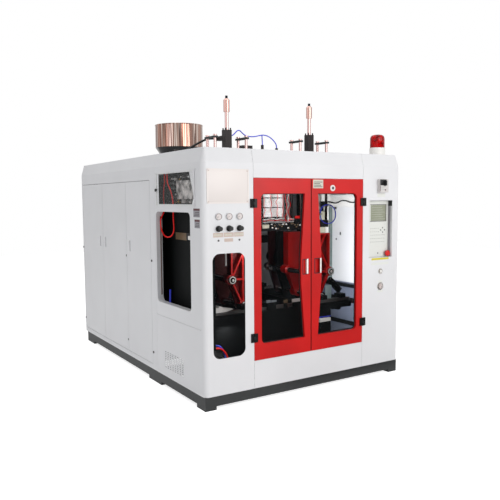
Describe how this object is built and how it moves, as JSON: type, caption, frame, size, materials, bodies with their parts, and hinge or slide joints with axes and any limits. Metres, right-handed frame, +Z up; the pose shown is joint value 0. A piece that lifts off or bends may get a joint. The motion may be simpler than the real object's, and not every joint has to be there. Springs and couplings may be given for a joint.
{
  "type": "blow moulding machine",
  "caption": "Extrusion blow moulding machine: double station clamp, glazed red front doors, white cladding, hopper, roof blow units and a beacon.",
  "frame": {"origin": "centre of the anchor hole pattern, on the floor, which is also the centre of the cladding's footprint", "axes": "+Z up, -Y to the front doors, +X to the right"},
  "size_m": [2.2135, 3.233, 2.685],
  "materials": {
    "cladding": "satin powder coat",
    "door_red": "gloss enamel",
    "frame_black": "satin enamel",
    "platen_red": "gloss enamel",
    "machine_grey": "satin enamel",
    "polished_steel": "mirror polish",
    "ground_steel": "ground",
    "anodised": "matt anodised",
    "black_plastic": "moulded",
    "panel_plastic": "printed film",
    "clear_pane": "clear polycarbonate",
    "signal_red": "translucent",
    "signal_white": "moulded",
    "red_hose": "extruded",
    "blue_hose": "extruded",
    "black_hose": "extruded",
    "band_steel": "stainless sheet"
  },
  "bodies": {
    "machine": {"base_frame": "frame_black", "machine_frame": "frame_black", "front_left_panel": "cladding", "front_left_pane": "clear_pane", "front_centre_panels": "cladding", "control_column": "cladding", "service_panel": "cladding", "vent_panel": "cladding", "side_wall_frame": "cladding", "rear_and_side_panels": "cladding", "roof_panel": "cladding", "clamp_beams": "frame_black", "clamp_rails": "ground_steel", "blow_cylinders": "black_plastic", "hopper": "polished_steel", "extruder_barrel": "ground_steel", "heater_bands": "band_steel", "power_units": "machine_grey", "bay_fittings": "machine_grey", "hinge_fixed_leaves": "frame_black", "pressure_gauges": "polished_steel", "hmi_panel": "panel_plastic", "switch_box": "machine_grey", "beacon_base": "signal_white", "beacon_dome": "signal_red", "roof_hose": "black_hose", "air_tube": "blue_hose", "air_branch": "blue_hose", "red_loop": "red_hose", "blue_loop": "blue_hose", "low_red_hose": "red_hose", "low_blue_hose": "blue_hose"},
    "left_door": {"left_door": "door_red", "left_door_pane": "clear_pane"},
    "right_door": {"right_door": "door_red", "right_door_pane": "clear_pane"},
    "side_door_front": {"side_door_front": "cladding"},
    "side_door_middle": {"side_door_middle": "cladding"},
    "side_door_rear": {"side_door_rear": "cladding"},
    "service_window": {"service_window": "clear_pane"},
    "regulator_1": {"regulator_knob_1": "black_plastic"},
    "regulator_2": {"regulator_knob_2": "black_plastic"},
    "regulator_3": {"regulator_knob_3": "black_plastic"},
    "stop_button": {"stop_button": "signal_red"},
    "start_button": {"start_button": "signal_white"},
    "selector": {"selector_knob": "black_plastic"},
    "main_switch": {"main_switch_knob": "black_plastic"},
    "beacon_reflector": {"beacon_reflector": "polished_steel"},
    "left_carriage": {"left_carriage": "frame_black"},
    "left_front_platen": {"left_front_platen": "platen_red", "left_tie_bars": "polished_steel"},
    "left_rear_platen": {"left_rear_platen": "platen_red"},
    "left_blow_unit": {"left_blow_rods": "polished_steel", "left_blow_head": "frame_black"},
    "right_carriage": {"right_carriage": "frame_black"},
    "right_front_platen": {"right_front_platen": "platen_red", "right_tie_bars": "polished_steel"},
    "right_rear_platen": {"right_rear_platen": "platen_red"},
    "right_blow_unit": {"right_blow_rods": "polished_steel", "right_blow_head": "frame_black"}
  },
  "joints": [
    {"name": "left_door_hinge", "type": "hinge", "parent": "machine", "child": "left_door", "pos_m": [-0.6165, -1.592, 1.126], "axis": [0, 0, -1], "range_deg": [0, 110]},
    {"name": "right_door_hinge", "type": "hinge", "parent": "machine", "child": "right_door", "pos_m": [0.6105, -1.592, 1.126], "axis": [0, 0, 1], "range_deg": [0, 110]},
    {"name": "side_door_front_hinge", "type": "hinge", "parent": "machine", "child": "side_door_front", "pos_m": [-1.0915, -0.5255, 1.04], "axis": [0, 0, 1], "range_deg": [0, 100]},
    {"name": "side_door_middle_hinge", "type": "hinge", "parent": "machine", "child": "side_door_middle", "pos_m": [-1.0915, 0.0955, 1.04], "axis": [0, 0, 1], "range_deg": [0, 100]},
    {"name": "side_door_rear_hinge", "type": "hinge", "parent": "machine", "child": "side_door_rear", "pos_m": [-1.0915, 1.5105, 1.04], "axis": [0, 0, -1], "range_deg": [0, 100]},
    {"name": "service_window_hinge", "type": "hinge", "parent": "machine", "child": "service_window", "pos_m": [-1.1025, -1.4515, 1.825], "axis": [0, 0, 1], "range_deg": [0, 100]},
    {"name": "selector_turn", "type": "hinge", "parent": "machine", "child": "selector", "pos_m": [0.8425, -1.5885, 0.878], "axis": [0, 1, 0], "range_deg": [-45, 45]},
    {"name": "main_switch_turn", "type": "hinge", "parent": "machine", "child": "main_switch", "pos_m": [0.8475, -1.6325, 1.874], "axis": [0, 1, 0], "range_deg": [0, 90]},
    {"name": "regulator_1_turn", "type": "hinge", "parent": "machine", "child": "regulator_1", "pos_m": [-0.9555, -1.6025, 1.495], "axis": [0, 1, 0], "range_deg": [-150, 150]},
    {"name": "regulator_2_turn", "type": "hinge", "parent": "machine", "child": "regulator_2", "pos_m": [-0.8565, -1.6025, 1.495], "axis": [0, 1, 0], "range_deg": [-150, 150]},
    {"name": "regulator_3_turn", "type": "hinge", "parent": "machine", "child": "regulator_3", "pos_m": [-0.7575, -1.6025, 1.495], "axis": [0, 1, 0], "range_deg": [-150, 150]},
    {"name": "beacon_turn", "type": "hinge", "parent": "machine", "child": "beacon_reflector", "pos_m": [0.9015, -1.4645, 2.25], "axis": [0, 0, 1], "continuous": true},
    {"name": "stop_press", "type": "slide", "parent": "machine", "child": "stop_button", "axis": [0, 1, 0], "range_m": [0, 0.005], "stiffness_N_per_m": 1500},
    {"name": "start_press", "type": "slide", "parent": "machine", "child": "start_button", "axis": [0, 1, 0], "range_m": [0, 0.004], "stiffness_N_per_m": 900},
    {"name": "left_carriage_slide", "type": "slide", "parent": "machine", "child": "left_carriage", "axis": [1, 0, 0], "range_m": [-0.035, 0.451]},
    {"name": "left_front_platen_slide", "type": "slide", "parent": "left_carriage", "child": "left_front_platen", "axis": [0, 1, 0], "range_m": [-0.09, 0.035]},
    {"name": "left_rear_platen_slide", "type": "slide", "parent": "left_carriage", "child": "left_rear_platen", "axis": [0, 1, 0], "range_m": [-0.035, 0.09]},
    {"name": "left_blow_slide", "type": "slide", "parent": "machine", "child": "left_blow_unit", "axis": [0, 0, 1], "range_m": [-0.12, 0]},
    {"name": "right_carriage_slide", "type": "slide", "parent": "machine", "child": "right_carriage", "axis": [1, 0, 0], "range_m": [-0.451, 0.03]},
    {"name": "right_front_platen_slide", "type": "slide", "parent": "right_carriage", "child": "right_front_platen", "axis": [0, 1, 0], "range_m": [-0.09, 0.035]},
    {"name": "right_rear_platen_slide", "type": "slide", "parent": "right_carriage", "child": "right_rear_platen", "axis": [0, 1, 0], "range_m": [-0.035, 0.09]},
    {"name": "right_blow_slide", "type": "slide", "parent": "machine", "child": "right_blow_unit", "axis": [0, 0, 1], "range_m": [-0.12, 0]}
  ],
  "couplings": [
    {"joint": "left_rear_platen_slide", "follows": "left_front_platen_slide", "ratio": -1},
    {"joint": "right_rear_platen_slide", "follows": "right_front_platen_slide", "ratio": -1}
  ]
}
